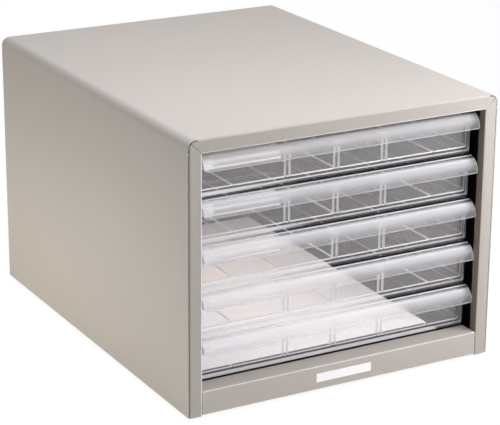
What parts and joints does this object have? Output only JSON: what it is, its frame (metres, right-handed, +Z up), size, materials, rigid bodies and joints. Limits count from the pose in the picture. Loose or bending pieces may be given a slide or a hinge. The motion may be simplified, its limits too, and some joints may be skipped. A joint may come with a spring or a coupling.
{
  "type": "desktop drawer unit",
  "caption": "Low painted steel desktop case with clear plastic drawers for A4 paper, each with a curved finger lip and a label holder, sliding out to the front.",
  "frame": {"origin": "centre of the footprint, on the surface the feet stand on", "axes": "+Z up, the drawers open towards -Y, +X to the right seen from the front"},
  "size_m": [0.275, 0.35, 0.223],
  "materials": {
    "painted_steel": "satin",
    "dark_steel": "satin",
    "white_paper": "matt",
    "clear_polystyrene": "clear, polished",
    "plate_white": "satin",
    "foot_rubber": "matt"
  },
  "bodies": {
    "case": {"case_shell": "painted_steel", "post_left": "painted_steel", "post_right": "painted_steel", "bottom_rail": "painted_steel", "base_panel": "painted_steel", "back_panel": "painted_steel", "runner_panel_left": "dark_steel", "runner_panel_right": "dark_steel", "rail_plate": "plate_white", "foot_1": "foot_rubber", "foot_2": "foot_rubber", "foot_3": "foot_rubber", "foot_4": "foot_rubber"},
    "drawer_1": {"tray_1": "clear_polystyrene", "label_holder_1": "clear_polystyrene"},
    "drawer_2": {"tray_2": "clear_polystyrene", "label_holder_2": "clear_polystyrene"},
    "drawer_3": {"tray_3": "clear_polystyrene", "label_holder_3": "clear_polystyrene"},
    "drawer_4": {"tray_4": "clear_polystyrene", "label_holder_4": "clear_polystyrene"},
    "drawer_5": {"tray_5": "clear_polystyrene", "label_holder_5": "clear_polystyrene", "label_sheet": "white_paper"}
  },
  "joints": [
    {"name": "drawer_1_slide", "type": "slide", "parent": "case", "child": "drawer_1", "axis": [0, -1, 0], "range_m": [0, 0.22]},
    {"name": "drawer_2_slide", "type": "slide", "parent": "case", "child": "drawer_2", "axis": [0, -1, 0], "range_m": [0, 0.22]},
    {"name": "drawer_3_slide", "type": "slide", "parent": "case", "child": "drawer_3", "axis": [0, -1, 0], "range_m": [0, 0.22]},
    {"name": "drawer_4_slide", "type": "slide", "parent": "case", "child": "drawer_4", "axis": [0, -1, 0], "range_m": [0, 0.22]},
    {"name": "drawer_5_slide", "type": "slide", "parent": "case", "child": "drawer_5", "axis": [0, -1, 0], "range_m": [0, 0.22]}
  ]
}
